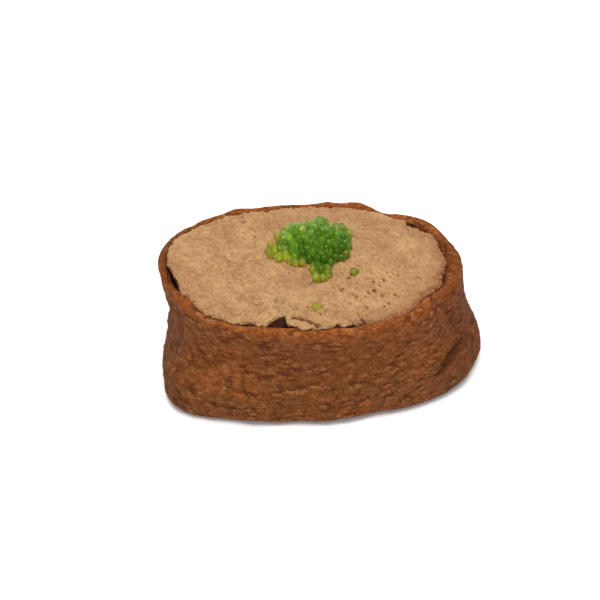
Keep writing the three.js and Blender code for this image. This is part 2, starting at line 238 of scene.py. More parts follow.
def turned_from(angle):
    """Degrees between an angle and each of the directions all round."""
    around = np.degrees(np.arctan2(out[:, 1], out[:, 0]))
    return (around - angle + 180) % 360 - 180


def facing(angle, end, full):
    """1 in the directions that face an angle to within full degrees, falling to 0 at end degrees."""
    return smoothstep(end, full, np.abs(turned_from(angle)))


UP = np.array([0.0, 0.0, 1.0])
FAR = 60.0  # rays at the pouch start this far out
NEAR = 5.0  # and rays at its lip this far
pouch_surface = surface_of("pouch")
out = directions(AROUND)


def wall_at(heights, inside=False):
    """Points of the pouch's wall in each direction at the given heights, seen from one side."""
    middle = POUCH_AXIS + UP * np.broadcast_to(heights, AROUND)[:, None]
    outer = middle + FAR * out
    return cast(pouch_surface, middle if inside else outer, outer if inside else middle)


def inwards(points, distance):
    return points - distance * out


rim = inwards(wall_at(UNDER_LIP), LIP_RADIUS)
rim_top = cast(pouch_surface, rim + 2 * NEAR * UP, rim * (1, 1, 0))[:, 2]
lip_height = rim_top - LIP_RADIUS
lip_middle = inwards(wall_at(lip_height), LIP_RADIUS)

foot = FOOT_HEIGHT * (1 - np.cos(np.linspace(0, np.pi / 2, FOOT_ROWS)))
foot[0] = LOWEST_ROW
above = np.linspace(0, 1, WALL_ROWS)[1:, None] * (lip_height - FOOT_HEIGHT) + FOOT_HEIGHT
wall = [wall_at(z) for z in foot] + [wall_at(z) for z in above]
base_edge = wall[0] * (1, 1, 0)
base_middle = POUCH_AXIS + 0 * base_edge
lip = []
for bend in np.linspace(0, np.pi, LIP_ROWS)[1:]:
    away = math.cos(bend) * out + math.sin(bend) * UP
    lip.append(cast(pouch_surface, lip_middle + NEAR * away, lip_middle))
lowest_inside = FLOOR_HEIGHT + FLOOR_EDGE
inside = [wall_at(np.maximum(lip_height - depth, lowest_inside), True) for depth in INNER_DEPTHS]
floor_middle = base_middle + FLOOR_HEIGHT * UP
floor_edge = inwards(inside[-1], FLOOR_EDGE)
floor_edge[:, 2] = FLOOR_HEIGHT
floor = [floor_middle + share * (floor_edge - floor_middle) for share in (1, 0.5, 0)]
base = [base_middle, base_middle + 0.5 * (base_edge - base_middle), base_edge]

outside = soften(np.array([*wall, *lip]), WALL_SOFTENING)
outside[:, :, 2] = np.maximum(outside[:, :, 2], 0)
creased = 0
for line, half_width, height in FOLDS:
    apart = to_line(outside[: len(wall)] - POUCH_AXIS, line)
    creased = creased + height * bell(apart, half_width)
outside[: len(wall)] += creased[:, :, None] * out
for place, half_width, height in SWELLS:
    apart = np.linalg.norm(outside - POUCH_AXIS - place, axis=-1)
    outside += height * bell(apart, half_width)[:, :, None] * out
for angle, spread, height in RIM_RISES:
    near_rim = smoothstep(*RISING_WALL, outside[:, :, 2])
    outside[:, :, 2] += height * near_rim * bell(turned_from(angle), spread)
lean = sum(far * bell(turned_from(angle), spread) for angle, spread, far in RIM_LEANS)
turned_in = smoothstep(0.3, 1.0, (np.arange(len(outside)) - len(wall)) / LIP_ROWS)
outside -= (turned_in[:, None] * lean)[:, :, None] * out
for row, depth in enumerate(INNER_DEPTHS):
    follows = max(0.0, 1 - depth / LEAN_DEPTH)
    inside[row] = inwards(inside[row], (lean * follows)[:, None])
pouch_rings = np.concatenate([base[:2], [base_edge], outside[1:], inside, floor])
below_rim = lip_height - pouch_rings[:, :, 2]
ring_number = np.arange(len(pouch_rings))[:, None]
on_lip = np.clip((ring_number - len(base) - len(wall) + 1) / LIP_ROWS, 0, 1)
rim_band = RIM_BAND + BROAD_RIM * bell(turned_from(BROAD_RIM_ANGLE), BROAD_RIM_SPREAD)
rim_fades = RIM_FULL - below_rim / (RIM_FADE * rim_band)
rim_shows = RIM_LEAST
for angle, half, share in RIM_SHOWS:
    shows = share * facing(angle, half + RIM_SHOWS_FADE, half - RIM_SHOWS_FADE)
    rim_shows = np.maximum(rim_shows, shows)
# The folds' heights are kept for the painted shade in their creases.
folded = np.zeros(pouch_rings.shape[:2])
folded[len(base) - 1 : len(base) - 1 + len(wall)] = creased
tint = 0
for place, half_width, share in TINTS:
    apart = np.linalg.norm(pouch_rings - POUCH_AXIS - place, axis=-1)
    tint = tint + share * bell(apart, half_width)
pouch_marks = {
    "tint": tint,
    "skin": smoothstep(2, 8, ring_number) * (1 - smoothstep(0.8, 1, on_lip)),
    "rim": rim_shows * np.maximum(np.clip(rim_fades, 0, RIM_FULL), RIM_FULL * (on_lip > 0)),
    "fold": folded,
    # Painted shade at the narrow ends of the pouch.
    "end": smoothstep(*END_SHADE_REACH, np.abs(pouch_rings[:, :, 0] - POUCH_AXIS[0])),
    "low": smoothstep(*LOW_HEIGHTS, pouch_rings[:, :, 2]),
}
pouch = ring_mesh("tofu_pouch", pouch_rings, pouch_marks)


def feed(tree, node, inputs):
    """Gives each input of a node that is named its value, or links it to another node's output."""
    for key, value in inputs.items():
        if isinstance(value, bpy.types.NodeSocket):
            tree.links.new(value, node.inputs[key])
        else:
            node.inputs[key].default_value = value


def add_node(tree, kind, inputs=None, **settings):
    """A new node with its settings and inputs."""
    made = tree.nodes.new(kind)
    for name, value in settings.items():
        setattr(made, name, value)
    feed(tree, made, inputs or {})
    return made


def calc(tree, operation, a, b=0.0, c=0.0):
    """A sum of one to three numbers, as a Math node's output."""
    return add_node(tree, "ShaderNodeMath", {0: a, 1: b, 2: c}, operation=operation).outputs[0]


def remap(tree, value, low, high, to_low=0.0, to_high=1.0, smooth=True):
    """A number moved from one range to another and held there."""
    kind = "SMOOTHSTEP" if smooth else "LINEAR"
    inputs = {0: value, 1: low, 2: high, 3: to_low, 4: to_high}
    return add_node(tree, "ShaderNodeMapRange", inputs, interpolation_type=kind).outputs[0]


def vector(tree, operation, a, b):
    """A sum of two vectors, or of a vector and a number for SCALE."""
    second = "Scale" if operation == "SCALE" else 1
    return add_node(tree, "ShaderNodeVectorMath", {0: a, second: b}, operation=operation).outputs[0]


def noise(tree, place, size, detail=3.0, roughness=0.5, output=0):
    """Cloudy noise from 0 to 1, with blotches of about a size in the place's own units.

    Output 1 is the same noise as a colour, which is three numbers that differ.
    """
    scale = calc(tree, "DIVIDE", 1.0, size) if isinstance(size, bpy.types.NodeSocket) else 1 / size
    inputs = {"Vector": place, "Scale": scale, "Detail": detail, "Roughness": roughness}
    return add_node(tree, "ShaderNodeTexNoise", inputs).outputs[output]


def centred(tree, value):
    """Noise that goes from 0 to 1, moved to lie about 0."""
    return calc(tree, "SUBTRACT", value, 0.5)


def overlapping_scales(tree, place, length, wander):
    """Height of flat scales that overlap, each thickest at its upper edge, and the crevice over it."""
    shift = vector(tree, "SUBTRACT", noise(tree, place, length, 2.0, 0.5, 1), (0.5, 0.5, 0.5))
    wandering = vector(tree, "ADD", place, vector(tree, "SCALE", shift, wander))
    inputs = {"Vector": wandering, "Scale": calc(tree, "DIVIDE", 1.0, length)}
    cells = add_node(tree, "ShaderNodeTexVoronoi", inputs)
    away = vector(tree, "SUBTRACT", wandering, cells.outputs["Position"])
    lift = add_node(tree, "ShaderNodeSeparateXYZ", {0: away}).outputs[2]
    lift = calc(tree, "DIVIDE", lift, length)
    domed = calc(tree, "MULTIPLY", cells.outputs["Distance"], cells.outputs["Distance"])
    height = calc(tree, "MULTIPLY_ADD", lift, 1.2, calc(tree, "MULTIPLY_ADD", domed, -0.9, 0.16))
    borders = add_node(tree, "ShaderNodeTexVoronoi", inputs, feature="DISTANCE_TO_EDGE")
    crevice = remap(tree, borders.outputs["Distance"], 0.10, 0.02)
    crevice = calc(tree, "MULTIPLY", crevice, remap(tree, lift, 0.02, 0.28))
    return height, crevice


def new_group(kind, name, inputs, outputs):
    """A node group with named sockets. Returns it, its inputs and its outputs."""
    tree = bpy.data.node_groups.new(name, kind)
    for direction, sockets in (("INPUT", inputs), ("OUTPUT", outputs)):
        for socket, sort in sockets.items():
            tree.interface.new_socket(socket, in_out=direction, socket_type="NodeSocket" + sort)
    return tree, tree.nodes.new("NodeGroupInput").outputs, tree.nodes.new("NodeGroupOutput").inputs


def new_tree(name, sizes):
    """A geometry tree with named sizes as inputs."""
    sockets = {"Geometry": "Geometry", **{size: "Float" for size in sizes}}
    return new_group("GeometryNodeTree", name, sockets, {"Geometry": "Geometry"})


def named(tree, name):
    inputs = {"Name": name}
    return add_node(tree, "GeometryNodeInputNamedAttribute", inputs, data_type="FLOAT").outputs[0]


def store(tree, geometry, name, value):
    inputs = {"Geometry": geometry, "Name": name, "Value": value}
    settings = {"data_type": "FLOAT", "domain": "POINT"}
    return add_node(tree, "GeometryNodeStoreNamedAttribute", inputs, **settings).outputs[0]


def raise_along_normal(tree, geometry, height):
    """The surface moved along its normals by a height in millimetres."""
    normal = tree.nodes.new("GeometryNodeInputNormal").outputs[0]
    offset = vector(tree, "SCALE", normal, calc(tree, "MULTIPLY", height, MM))
    return add_node(tree, "GeometryNodeSetPosition", {"Geometry": geometry, "Offset": offset}).outputs[0]


def in_millimetres(tree, place):
    return vector(tree, "SCALE", place, 1 / MM)


def with_material(tree, geometry, material):
    inputs = {"Geometry": geometry, "Material": material}
    return add_node(tree, "GeometryNodeSetMaterial", inputs).outputs[0]


def grow(piece, tree, sizes):
    """Runs a geometry tree on a piece with its sizes set, and keeps the result as a plain mesh."""
    modifier = piece.modifiers.new(tree.name, "NODES")
    modifier.node_group = tree
    for socket in tree.interface.items_tree:
        if socket.in_out == "INPUT" and socket.name in sizes:
            modifier[socket.identifier] = sizes[socket.name]
    bpy.context.view_layer.update()
    evaluated = piece.evaluated_get(bpy.context.evaluated_depsgraph_get())
    grown = bpy.data.meshes.new_from_object(evaluated)
    piece.modifiers.remove(modifier)
    piece.data = grown
    grown.name = piece.name
    grown.shade_smooth()
    return piece


# Its wrinkles: flat scales that overlap like shingles laid upside down, over broad dimples and under
# a fine crumple. The rim has only a little of them.
WRINKLES = {
    "Scale length": 2.5,
    "Scale flatness": 1.5,
    "Scale depth": 0.28,
    "Crevice height": -0.35,
    "Patch size": 3.5,
    "Wander": 3.0,
    "Crumple size": 0.9,
    "Crumple depth": 0.34,
    "Dimple size": 7.0,
    "Dimple depth": 0.9,
    "Rim share": 0.45,
}


def wrinkle_tree(material):
    tree, size, result = new_tree("tofu_skin_wrinkles", WRINKLES)
    place = in_millimetres(tree, tree.nodes.new("GeometryNodeInputPosition").outputs[0])
    factors = add_node(tree, "ShaderNodeCombineXYZ", {0: 1.0, 1: 1.0, 2: size["Scale flatness"]})
    flattened = vector(tree, "MULTIPLY", place, factors.outputs[0])
    crest, crevice = overlapping_scales(tree, flattened, size["Scale length"], size["Wander"])
    strength = remap(tree, noise(tree, place, size["Patch size"], 2.0), 0.40, 0.62, 0.2, 1.0)
    crest = calc(tree, "MULTIPLY", crest, strength)
    crumple = centred(tree, noise(tree, flattened, size["Crumple size"], 3.0, 0.55))
    dimple = centred(tree, noise(tree, flattened, size["Dimple size"], 1.0, 0.4))
    deep = calc(tree, "MULTIPLY", calc(tree, "MULTIPLY", crevice, strength), size["Crevice height"])
    raised = calc(tree, "MULTIPLY", calc(tree, "ADD", crest, deep), size["Scale depth"])
    raised = calc(tree, "MULTIPLY_ADD", crumple, size["Crumple depth"], raised)
    on_wall = remap(tree, named(tree, "rim"), 0.5, 0.8, 1.0, 0.0)
    kept = calc(tree, "MAXIMUM", on_wall, size["Rim share"])
    raised = calc(tree, "MULTIPLY", raised, kept)
    raised = calc(tree, "MULTIPLY_ADD", dimple, size["Dimple depth"], raised)
    raised = calc(tree, "MULTIPLY", raised, named(tree, "skin"))
    geometry = store(tree, size["Geometry"], "crest", crest)
    geometry = store(tree, geometry, "scaly", strength)
    geometry = store(tree, geometry, "crumple", crumple)
    geometry = raise_along_normal(tree, geometry, raised)
    tree.links.new(with_material(tree, geometry, material), result[0])
    return tree


def new_material(name):
    """A material with its tree and its Principled shader."""
    material = bpy.data.materials.new(name)
    material.use_nodes = True
    return material, material.node_tree, material.node_tree.nodes["Principled BSDF"]


def object_place(tree):
    """The place on the piece, in millimetres."""
    return in_millimetres(tree, tree.nodes.new("ShaderNodeTexCoord").outputs["Object"])


def attribute(tree, name):
    return add_node(tree, "ShaderNodeAttribute", attribute_name=name).outputs["Fac"]


def blend(tree, share, a, b):
    """Two colours mixed by a share, each a colour or a socket."""
    return add_node(tree, "ShaderNodeMix", {0: share, 6: a, 7: b}, data_type="RGBA").outputs[2]


def laid_over(tree, colour, value, start, full, amount, layer):
    """A colour with another laid over it: none where a value is at the start, up to an amount."""
    return blend(tree, remap(tree, value, start, full, 0.0, amount), colour, layer)


def raised_grain(tree, height, strength, depth):
    """The normal of a surface with a fine relief."""
    inputs = {"Height": height, "Strength": strength, "Distance": depth * MM}
    return add_node(tree, "ShaderNodeBump", inputs).outputs[0]


def mottling_group():
    """Soft blotches of a second colour over a first, for every kind of food here."""
    inputs = {
        "Place": "Vector",
        "Blotch size": "Float",
        "Softness": "Float",
        "Amount": "Float",
        "Colour": "Color",
        "Blotch colour": "Color",
    }
    tree, given, result = new_group("ShaderNodeTree", "mottling", inputs, {"Colour": "Color"})
    cloud = noise(tree, given["Place"], given["Blotch size"], 3.0, 0.55)
    middle = 0.53  # a little more than half, so that the first colour has the larger part
    low = calc(tree, "SUBTRACT", middle, given["Softness"])
    high = calc(tree, "ADD", middle, given["Softness"])
    share = remap(tree, cloud, low, high, 0.0, given["Amount"])
    tree.links.new(blend(tree, share, given["Colour"], given["Blotch colour"]), result[0])
    return tree


def grain_group():
    """A fine moist grain, as a height from 0 to 1 and the roughness that goes with it."""
    inputs = {"Place": "Vector", "Grain size": "Float", "Dry": "Float", "Moist": "Float"}
    outputs = {"Grain": "Float", "Roughness": "Float"}
    tree, given, result = new_group("ShaderNodeTree", "moist_grain", inputs, outputs)
    grain = noise(tree, given["Place"], given["Grain size"], 4.0, 0.65)
    tree.links.new(grain, result[0])
    tree.links.new(remap(tree, grain, 0.35, 0.65, given["Dry"], given["Moist"]), result[1])
    return tree


MOTTLING = mottling_group()
GRAIN = grain_group()


def mottle(tree, place, size, softness, amount, colour, blotch_colour):
    inputs = {"Place": place, "Blotch size": size, "Softness": softness, "Amount": amount}
    inputs.update({"Colour": colour, "Blotch colour": blotch_colour})
    return add_node(tree, "ShaderNodeGroup", inputs, node_tree=MOTTLING).outputs[0]


def moist_grain(tree, place, size, dry, moist):
    inputs = {"Place": place, "Grain size": size, "Dry": dry, "Moist": moist}
    made = add_node(tree, "ShaderNodeGroup", inputs, node_tree=GRAIN)
    return made.outputs["Grain"], made.outputs["Roughness"]


SKIN_BROWN = (0.190, 0.055, 0.0134, 1)
SKIN_RED = (0.224, 0.059, 0.0127, 1)
SKIN_WARM = (0.300, 0.086, 0.019, 1)
SKIN_OLIVE = (0.162, 0.060, 0.0145, 1)
SKIN_DARK_FLECK_AND_SHADE = (0.078, 0.022, 0.0070, 1)
SKIN_MAROON = (0.145, 0.030, 0.0065, 1)
SKIN_TAN_FLECK_AND_HIGHLIGHT = (0.335, 0.138, 0.048, 1)
SKIN_PAINTED_GLINT = (0.60, 0.38, 0.18, 1)
RIM_ORANGE = (0.255, 0.067, 0.012, 1)
SMALL_SCALE = 0.9
SMALL_WANDER = 1.3
SKIN_BUMP = 0.15


def skin_material():
    """The skin's colours: brown in soft patches and flecks, painted highlight on what stands out, and
    painted shade in what lies deep, in creases and at the narrow ends; painted glints.
    """
    material, tree, shader = new_material("tofu_skin")
    place = object_place(tree)
    flattened = vector(tree, "MULTIPLY", place, (1, 1, WRINKLES["Scale flatness"]))
    crest = attribute(tree, "crest")
    small, small_crevice = overlapping_scales(tree, flattened, SMALL_SCALE, SMALL_WANDER)
    crevice = overlapping_scales(tree, flattened, WRINKLES["Scale length"], WRINKLES["Wander"])[1]
    grain, roughness = moist_grain(tree, flattened, 0.5, 0.8, 0.55)
    cloud = centred(tree, noise(tree, flattened, 1.7, 6.0, 0.75))
    # The relief sums the heights of the scales and the crumple with a fine cloud of flecks: the tan and
    # dark laid by it are painted highlight and painted shade on the heights, and the skin's own flecks
    # from the cloud.
    relief = 0.0
    for height, share in ((crest, 0.55), (attribute(tree, "crumple"), 0.7), (small, 0.28), (cloud, 4.4)):
        relief = calc(tree, "MULTIPLY_ADD", height, share, relief)
    colour = mottle(tree, place, 7.0, 0.15, 0.75, SKIN_BROWN, SKIN_RED)
    olive = remap(tree, attribute(tree, "low"), 0.0, 1.0, 0.6, 1.0)
    colour = mottle(tree, flattened, 4.5, 0.14, olive, colour, SKIN_OLIVE)
    patchy = noise(tree, flattened, 2.8, 4.0, 0.6)
    edge = calc(tree, "MULTIPLY_ADD", centred(tree, patchy), 1.3, attribute(tree, "rim"))
    colour = laid_over(tree, colour, edge, 0.45, 0.95, 0.75, RIM_ORANGE)
    tint = calc(tree, "MULTIPLY", attribute(tree, "tint"), remap(tree, patchy, 0.35, 0.6, 0.3, 1.0))
    for end, amount, layer in ((1.0, 0.6, SKIN_WARM), (-1.0, 0.65, SKIN_MAROON)):
        colour = blend(tree, remap(tree, tint, 0.0, end, 0.0, amount, False), colour, layer)
    colour = laid_over(tree, colour, relief, 0.02, 0.75, 0.85, SKIN_TAN_FLECK_AND_HIGHLIGHT)
    colour = laid_over(tree, colour, relief, 0.05, -0.95, 0.8, SKIN_DARK_FLECK_AND_SHADE)
    # Painted highlight on the scales' raised upper edges, and painted shade where they lie low.
    colour = laid_over(tree, colour, crest, 0.16, 0.5, 0.45, SKIN_TAN_FLECK_AND_HIGHLIGHT)
    colour = laid_over(tree, colour, crest, -0.18, -0.6, 0.4, SKIN_DARK_FLECK_AND_SHADE)
    # Painted shade in the crevices over the big and the small scales, less where the scales are few.
    scaly = remap(tree, attribute(tree, "scaly"), 0.1, 1.0, 0.15, 0.75)
    colour = blend(tree, calc(tree, "MULTIPLY", crevice, scaly), colour, SKIN_DARK_FLECK_AND_SHADE)
    colour = blend(tree, calc(tree, "MULTIPLY", small_crevice, 0.5), colour, SKIN_DARK_FLECK_AND_SHADE)
    # Painted shade in the creases of the folds.
    colour = laid_over(tree, colour, attribute(tree, "fold"), -0.1, -0.9, 0.6, SKIN_DARK_FLECK_AND_SHADE)
    # Painted shade at the narrow ends.
    colour = blend(tree, calc(tree, "MULTIPLY", attribute(tree, "end"), 0.4), colour, SKIN_DARK_FLECK_AND_SHADE)
    # Painted glints: tiny light specks on the skin.
    glint_dots = add_node(tree, "ShaderNodeTexVoronoi", {"Vector": place, "Scale": 0.3})
    colour = laid_over(tree, colour, glint_dots.outputs["Distance"], 0.05, 0.03, 0.6, SKIN_PAINTED_GLINT)
    height = calc(tree, "MULTIPLY_ADD", small, 0.9, grain)
    height = calc(tree, "MULTIPLY_ADD", crevice, -0.9, height)
    finish = {
        "Base Color": colour,
        "Roughness": roughness,
        "Normal": raised_grain(tree, height, 0.9, SKIN_BUMP),
        "IOR": 1.3,
        "Specular IOR Level": 0.12,
        "Subsurface Weight": 0.08,
        "Subsurface Radius": (1.0, 0.4, 0.2),
        "Subsurface Scale": 1.0 * MM,
    }
    feed(tree, shader, finish)
    return material


grow(pouch, wrinkle_tree(skin_material()), WRINKLES)
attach(pouch, "root")
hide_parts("pouch")

# The filling: fish paste, pale tan and moist, pressed in up to the rim and smeared level with a
# spatula. Its top is finely lumpy, with pits, a crack and smears, and it stands off the rim only in
# a few places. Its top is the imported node's, carried on to the finished rim.
PASTE_SHELF = 24.5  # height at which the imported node's side is measured
PASTE_INSET = 2.4  # how far in from there its top is level
PASTE_TOP_ROWS = 112
PASTE_EDGE_ROWS = 14
PASTE_ROUND = 0.8
PASTE_PRESS = 0.45  # how far it is pressed into the rim
PASTE_FALL = 0.5  # how far it falls to the rim at the back
PASTE_FALLING = (5.0, 0.8)  # and how far from the rim the fall starts and ends
PASTE_BACK = (92, 68, 40)  # angle of the back, degrees from it where the fall starts and is full
PASTE_SIDE_HEIGHTS = (24.0, 21.0, 17.5, 13.5, 9.5, 5.0, 2.4)
PASTE_FLOOR = 2.1
PASTE_FLOOR_EDGE = 0.8
RAGGED = 0.25  # how ragged its edge is, from a wide waver and a fine one
RAGGED_WAVERS = ((2.2, 60), (1.0, 6))  # strength and softness
RAGGED_SEED = 5
STRAY_EGGS = (  # place from the pouch's axis, size, share sunk in the paste, lightness, yellowness
    (8.8, -3.4, 1.1, 0.45, 0.35, 0.3),
    (0.8, -13.4, 1.5, 0.70, 0.35, 0.9),
)
RIM_GAPS = (  # angle, half width in degrees, and how far the paste stands off the rim
    (187.5, 5.8, 1.45),
    (233, 7, 0.28),
    (247.2, 4.7, 2.5),
    (271, 11, -1.0),
    (293, 2.8, 1.0),
    (354, 5, 0.9),
    (11, 4.5, 0.95),
    (27, 5.5, 1.7),
    (330, 18, -0.6),
)
EDGE_FLUSHES = (  # angle, degrees from it where it starts and is full, and how strong it is
    (345, 70, 25, 1.0),
    (200, 40, 10, 0.5),
)
FLUSH_REACH = (6.0, 0.6)  # how far from the rim it starts and is full
EDGE_STAIN = (332, 45, 25)  # the brown stain by the rim, in the same way
STAIN_REACH = (1.9, 0.7)
GAP_DARKENS = (0.35, 1.1)  # how far down in a gap the painted shade on the paste starts and is darkest
EDGE_DARKENS = (0.5, 1.2)  # and elsewhere along the rim
EDGE_DARK = 0.18
TOP_HEIGHTS = (22.0, 25.5)  # heights between which the smooth side turns to the lumpy top
PITTED = (14, -9, 9, 7)  # middle and half sizes of the place that is full of small pits
GROOVES = (  # line through places of the plan, half width, depth, and how dark its painted shade is
    (((-4.4, -16.6), (-2.2, -17.3), (-0.2, -18.6), (0.8, -19.1)), 0.35, 0.6, 0.75),
    (((-5.6, -15.1), (-4.7, -16.3), (-2.4, -15.5)), 0.3, 0.25, 0.25),
    (((9.3, -15.0), (9.5, -15.3)), 0.42, 0.9, 0.8),
    (((10.2, -16.2), (10.8, -17.7)), 0.42, 0.9, 0.9),
    (((10.6, -18.8), (10.8, -19.1)), 0.38, 0.8, 0.8),
    (((5.8, -20.3), (8.4, -20.1)), 0.4, 0.8, 0.9),
    (((-1.2, -13.4), (-1.0, -13.5)), 0.35, 0.4, 0.8),
    (((-15.8, 12.7), (-15.0, 12.8)), 0.55, 0.12, 0.5),
    (((-8.0, -12.0), (-7.2, -14.5), (-6.8, -16.5)), 0.35, 0.25, 0.3),
    (((12.0, -9.4), (13.2, -8.0), (14.2, -7.1), (15.2, -5.3)), 0.5, 0.12, 0.15),
    (((10.4, -4.7), (12.4, -5.6), (14.6, -6.3)), 0.3, 0.2, 0.3),
    (((6.6, -12.0), (8.6, -13.4), (10.0, -14.8)), 0.35, 0.25, 0.2),
    (((-18.6, 0.6), (-17.0, 0.2), (-16.2, -0.8)), 0.3, 0.2, 0.4),
)
RIDGES = (  # line through places of the plan, half width and height
    (((-5.5, -15.6), (-4.4, -16.0), (-2.4, -16.2), (0.0, -17.8), (2.0, -19.2)), 0.55, 0.5),
    (((-2.0, -18.2), (-0.4, -19.4)), 0.8, 0.3),
    (((2.2, -12.5), (3.4, -14.5), (4.0, -16.2)), 0.5, 0.25),
    (((5.8, -10.6), (8.2, -12.3), (10.4, -13.7)), 0.7, 0.3),
    (((4.9, -6.9), (6.8, -8.0), (8.8, -9.1)), 0.6, 0.2),
)
PITS = (  # place of the plan, radius, depth and how dark its painted shade is
    (15.1, -5.3, 0.57, 0.3, 0.80),
    (14.2, -7.1, 0.37, 0.2, 0.85),
    (13.0, -8.2, 0.46, 0.2, 0.80),
    (11.7, -8.9, 0.40, 0.2, 0.75),
    (12.9, -5.9, 0.40, 0.2, 0.75),
    (9.2, -10.6, 0.35, 0.2, 0.85),
    (15.9, -12.1, 0.42, 0.2, 0.80),
    (15.1, -12.9, 0.35, 0.2, 0.75),
    (14.5, -9.8, 0.44, 0.3, 0.65),
    (6.0, -8.5, 0.55, 0.3, 0.55),
    (7.8, -5.1, 0.35, 0.3, 0.75),
    (18.3, -3.8, 0.66, 0.3, 0.55),
    (17.6, -9.3, 0.35, 0.3, 0.65),
    (1.5, -15.6, 0.37, 0.3, 0.60),
)
paste_surface = surface_of("filling")


def apart_in_plan(plan, x=0.0, y=0.0, half_length=1.0, half_width=1.0):
    """How far places of the plan are from one of them, in half sizes of what lies there."""
    return np.hypot((plan[..., 0] - x) / half_length, (plan[..., 1] - y) / half_width)


def paste_side_at(height):
    """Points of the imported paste's side in each direction at a height."""
    middle = POUCH_AXIS + height * UP
    return cast(paste_surface, middle + FAR * out, middle)


pouch_now = BVHTree.FromObject(pouch, bpy.context.evaluated_depsgraph_get())
rim_middle = POUCH_AXIS + lip_height[:, None] * UP
rim_inside = cast(pouch_now, rim_middle, rim_middle + FAR * out)
standing_off = sum(gap * np.exp(-((turned_from(angle) / half) ** 4)) for angle, half, gap in RIM_GAPS)
ragged = np.random.default_rng(RAGGED_SEED).normal(size=(len(RAGGED_WAVERS), AROUND))
for waver, (strength, softness) in enumerate(RAGGED_WAVERS):
    ragged[waver] *= strength
    for _ in range(softness):
        ragged[waver] = soften_round(ragged[waver], 0)
paste_reach = np.linalg.norm(rim_inside - rim_middle, axis=-1) + PASTE_PRESS - standing_off
paste_reach += RAGGED * ragged.sum(0)
shelf = paste_side_at(PASTE_SHELF)
shelf_reach = np.linalg.norm(shelf - POUCH_AXIS - PASTE_SHELF * UP, axis=-1) - PASTE_INSET
at_back = facing(*PASTE_BACK)
top_rows = []
for share in np.linspace(0, 1, PASTE_TOP_ROWS):
    reach = share * (paste_reach - PASTE_ROUND)
    plan = POUCH_AXIS + np.minimum(reach, shelf_reach)[:, None] * out
    row = cast(paste_surface, plan + FAR * UP, plan)
    row[:, :2] = (POUCH_AXIS + reach[:, None] * out)[:, :2]
    row[:, 2] -= PASTE_FALL * at_back * smoothstep(*PASTE_FALLING, paste_reach - reach)
    top_rows.append(row)
top_rows = np.array(top_rows)

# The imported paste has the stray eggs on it, so its top is drawn level under them before they are put
# back as eggs.
STRAY_ROOM = 1.6
STRAY_LEVELLING = 400
to_strays = [apart_in_plan(top_rows, *(POUCH_AXIS[:2] + stray[:2])) for stray in STRAY_EGGS]
near_stray = np.min(to_strays, 0) < STRAY_ROOM
top_rows[near_stray, 2] = np.median(top_rows[~near_stray, 2])
for _ in range(STRAY_LEVELLING):
    top_rows[near_stray, 2] = soften(top_rows, 1)[near_stray, 2]
edge_middle = top_rows[-1] - PASTE_ROUND * UP
edge_rows = []
for bend in np.linspace(0, np.pi / 2, PASTE_EDGE_ROWS)[1:]:
    edge_rows.append(edge_middle + PASTE_ROUND * (math.sin(bend) * out + math.cos(bend) * UP))
side_rows = [paste_side_at(height) for height in PASTE_SIDE_HEIGHTS]
under_middle = POUCH_AXIS + PASTE_FLOOR * UP + 0 * out
under_edge = inwards(side_rows[-1], PASTE_FLOOR_EDGE)
under_edge[:, 2] = PASTE_FLOOR
under = [under_middle + share * (under_edge - under_middle) for share in (0, 0.5, 1)]
shown = soften(np.array([*side_rows[:1], *edge_rows[::-1], *top_rows[::-1]]), 3)
plan = shown[:, :, :2] - POUCH_AXIS[:2]
sunk = top_rows[-1, :, 2] - shown[:, :, 2]
# The dark mark is painted shade: deep in the gaps by the rim, a little all along the rim, and in the
# grooves and pits below.
dark = smoothstep(*GAP_DARKENS, sunk) * smoothstep(0.1, 0.5, standing_off)
dark = np.maximum(dark, EDGE_DARK * smoothstep(*EDGE_DARKENS, sunk))
from_edge = paste_reach - apart_in_plan(plan)
flushed = sum(share * facing(angle, start, full) for angle, start, full, share in EDGE_FLUSHES)
# Painted shade on the paste towards the back, behind the roe, laid on with the pink flush at the edges.
shade_behind_roe = 0.5 * smoothstep(5, 15, plan[:, :, 1]) * bell(plan[:, :, 0], 14)
flush = np.maximum(flushed * smoothstep(*FLUSH_REACH, from_edge), shade_behind_roe)
stain = facing(*EDGE_STAIN) * smoothstep(*STAIN_REACH, from_edge + 0.5 * ragged[1])
for line, half_width, depth, darkness in GROOVES:
    near = bell(to_line(plan, line), half_width)
    shown[:, :, 2] -= depth * near
    dark = np.maximum(dark, darkness * near)
for x, y, radius, depth, darkness in PITS:
    near = bell(apart_in_plan(plan, x, y), radius)
    shown[:, :, 2] -= depth * near
    dark = np.maximum(dark, darkness * near)
for line, half_width, height in RIDGES:
    shown[:, :, 2] += height * bell(to_line(plan, line), half_width)
paste_rings = np.concatenate([under, side_rows[:0:-1], shown])
paste_plan = paste_rings[:, :, :2] - POUCH_AXIS[:2]
hidden = np.zeros((len(paste_rings) - len(shown), AROUND))
paste_marks = {
    "top": smoothstep(*TOP_HEIGHTS, paste_rings[:, :, 2]),
    "dark": np.concatenate([hidden, dark]),
    "flush": np.concatenate([hidden, flush]),
    "stain": np.concatenate([hidden, stain]),
    "pitted": smoothstep(1.3, 0.6, apart_in_plan(paste_plan, *PITTED)),
}
paste = ring_mesh("fish_paste", paste_rings, paste_marks)

# Its lumps: noise of three sizes, drawn out along the spatula's way, with small pits at the right.
SMEAR_ANGLE = 0.5
SMEAR_STRETCH = (0.7, 1, 1)
LUMPS = {
    "Lump size": 1.0,
    "Lump depth": 1.2,
    "Grain size": 0.5,
    "Grain depth": 0.5,
    "Smear size": 3.5,
    "Smear depth": 1.0,
    "Pit spacing": 1.5,
    "Pit depth": 0.15,
}


